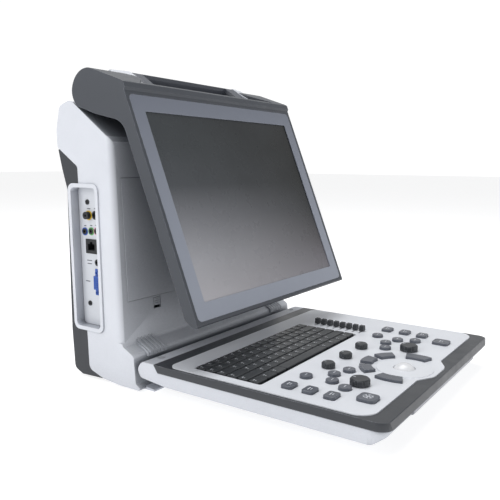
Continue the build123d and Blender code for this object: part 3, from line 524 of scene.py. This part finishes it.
def keyboard_marks():
    marks = on_panel()
    for y, widths in KEYBOARD_ROWS:
        x = KEYBOARD_LEFT
        for width in widths:
            if width < SPACE_BAR:
                marks.bar((x + 4.6, y + 2.0), 3.0, 0.9, KEYCAP_TOP)
                marks.bar((x + 4.1, y - 0.8), 1.8, 0.7, KEYCAP_TOP)
            x += width * KEY_UNIT
    marks.piece("keyboard_marks", ink_light, "keyboard_keys", "keyboard_keys")


def key_marks():
    side, oval, frost = on_panel(), on_panel(), on_panel()
    for x, y in SIDE_KEYS:
        side.bar((x, y + 1.2), 7.0, 1.0, KEY_TOP)
        side.bar((x, y - 1.6), 4.4, 0.8, KEY_TOP)
    for x, y in OVAL_KEYS:
        oval.bar((x, y), 5.2, 0.9, KEY_TOP)
    for arm in range(6):
        angle = math.radians(60 * arm)
        frost.bar((FREEZE[0] + 3.0 * math.cos(angle), FREEZE[1] + 3.0 * math.sin(angle)), 4.6, 0.8, KEY_TOP, 60 * arm)
        for lean in (-1, 1):
            tip = angle + lean * math.radians(14)
            frost.bar((FREEZE[0] + 4.7 * math.cos(tip), FREEZE[1] + 4.7 * math.sin(tip)), 2.0, 0.6, KEY_TOP,
                      60 * arm + lean * 50)
    side.piece("side_key_marks", ink_light, "side_keys", "side_keys")
    oval.piece("oval_key_marks", ink_light, "oval_keys", "oval_keys")
    frost.piece("freeze_mark", ink_light, "freeze_key", "freeze_key")


def control_marks():
    for name, (x, y) in KNOBS.items():
        reach = 4.2 if name.startswith("knob") else 6.4
        pointer = on_panel()
        pointer.bar((x, y + reach), 3.2, 1.0, top_of(name), 90.0)
        pointer.piece(name + "_pointer", ink_light, name, name)


def port_parts():
    """Coloured collars round the sockets, and plain label bars beside them."""
    collars = [("yellow", yellow_case, 178.8, 205.8, 4.75), ("blue", blue_case, 186.3, 185.5, 3.75),
               ("green", green_case, 174.9, 186.3, 3.75), ("pink", pink_case, 165.0, 187.0, 3.75)]
    for colour, material, y, z, inner in collars:
        ring = Marks((0, 1, 0), (0, 0, 1), (-1, 0, 0))
        ring.ring((y, z), inner, inner + 1.1, PORT_FACE, 1.0)
        ring.piece(colour + "_socket_collar", material, "console", "av_jacks")
    labels = Marks((0, 1, 0), (0, 0, 1), (-1, 0, 0))
    for y, z, length in ((178.5, 214.0, 6), (166.0, 214.5, 6), (186.0, 192.6, 4), (175.0, 193.4, 4),
                         (166.0, 194.0, 4), (180.0, 149.5, 9), (180.0, 145.5, 8), (184.0, 123.0, 8)):
        labels.bar((y, z), length, 1.1, PORT_FACE)
    labels.piece("socket_label_bars", ink_dark, "console", "port_plate")


# ------------------------------------------------------------------ stage, light and camera
def area_light(name, place, target, size, power):
    data = bpy.data.lights.new(name, "AREA")
    data.shape = "RECTANGLE"
    data.size, data.size_y = size
    data.energy = power
    light = bpy.data.objects.new(name, data)
    light.location = place
    direction = Vector(target) - Vector(place)
    light.rotation_euler = direction.to_track_quat("-Z", "Y").to_euler()
    bpy.context.scene.collection.objects.link(light)


def make_floor():
    """Plain pale floor that reaches past the view."""
    mesh = bpy.data.meshes.new("studio_floor")
    half = FLOOR_HALF
    mesh.from_pydata([(-half, -half, 0), (half, -half, 0), (half, half, 0), (-half, half, 0)], [], [(0, 1, 2, 3)])
    floor = bpy.data.objects.new("studio_floor", mesh)
    bpy.context.scene.collection.objects.link(floor)
    net = Net("floor_paper")
    paper = net.noise(2.0, 3.0)
    net.link(net.ramp(paper, [(0.0, (0.48, 0.48, 0.485, 1)), (1.0, (0.52, 0.52, 0.525, 1))]),
             net.shader.inputs["Base Color"])
    net.shader.inputs["Roughness"].default_value = 0.9
    net.shader.inputs["Specular IOR Level"].default_value = 0.1
    net.shader.inputs["Emission Color"].default_value = (1.0, 1.0, 1.0, 1.0)
    net.shader.inputs["Emission Strength"].default_value = FLOOR_GLOW
    mesh.materials.append(net.material)


def make_world():
    world = bpy.data.worlds.new("studio")
    bpy.context.scene.world = world
    world.use_nodes = True
    tree = world.node_tree
    seen = tree.nodes["Background"]
    seen.inputs["Color"].default_value = (1.0, 1.0, 1.0, 1.0)
    seen.inputs["Strength"].default_value = BACKDROP_STRENGTH
    lit = tree.nodes.new("ShaderNodeBackground")
    lit.inputs["Color"].default_value = (0.95, 0.97, 1.0, 1.0)
    lit.inputs["Strength"].default_value = AMBIENT_STRENGTH
    path = tree.nodes.new("ShaderNodeLightPath")
    bright = tree.nodes.new("ShaderNodeMath")
    bright.operation = "MAXIMUM"
    tree.links.new(path.outputs["Is Camera Ray"], bright.inputs[0])
    gloss = tree.nodes.new("ShaderNodeMath")
    gloss.operation = "MULTIPLY"
    gloss.inputs[1].default_value = GLOSS_SHARE
    tree.links.new(path.outputs["Is Glossy Ray"], gloss.inputs[0])
    tree.links.new(gloss.outputs["Value"], bright.inputs[1])
    mix = tree.nodes.new("ShaderNodeMixShader")
    tree.links.new(bright.outputs["Value"], mix.inputs["Fac"])
    tree.links.new(lit.outputs["Background"], mix.inputs[1])
    tree.links.new(seen.outputs["Background"], mix.inputs[2])
    tree.links.new(mix.outputs["Shader"], tree.nodes["World Output"].inputs["Surface"])


def make_camera():
    a, e, r = CAMERA_AZIMUTH, CAMERA_ELEVATION, CAMERA_ROLL
    back = Vector((math.sin(a) * math.cos(e), -math.cos(a) * math.cos(e), math.sin(e)))
    right = (-back).cross(Vector((0, 0, 1))).normalized()
    up = right.cross(-back)
    turned_right = right * math.cos(r) + up * math.sin(r)
    turned_up = -right * math.sin(r) + up * math.cos(r)
    data = bpy.data.cameras.new("view")
    data.lens = CAMERA_LENS
    data.sensor_width = 36.0
    data.shift_x, data.shift_y = CAMERA_SHIFT
    data.clip_start = 0.02
    data.dof.use_dof = False
    camera = bpy.data.objects.new("view", data)
    axes = Matrix((turned_right, turned_up, back)).transposed()
    camera.matrix_world = Matrix.Translation(CAMERA_PLACE) @ axes.to_4x4()
    bpy.context.scene.collection.objects.link(camera)
    bpy.context.scene.camera = camera


finish_nodes()
keyboard_marks()
key_marks()
control_marks()
port_parts()
make_floor()
make_world()
make_camera()
area_light("left_softbox", (-2.2, 0.9, 1.3), (0, 0.0, 0.2), (1.8, 1.6), 30.0)
area_light("top_softbox", (0.1, 0.3, 2.3), (0, 0.0, 0.1), (1.8, 1.6), 36.0)
area_light("low_front", (0.15, -1.5, 0.30), (0, 0.1, 0.08), (1.4, 0.4), 5.5)

bpy.context.scene.view_settings.view_transform = "Standard"
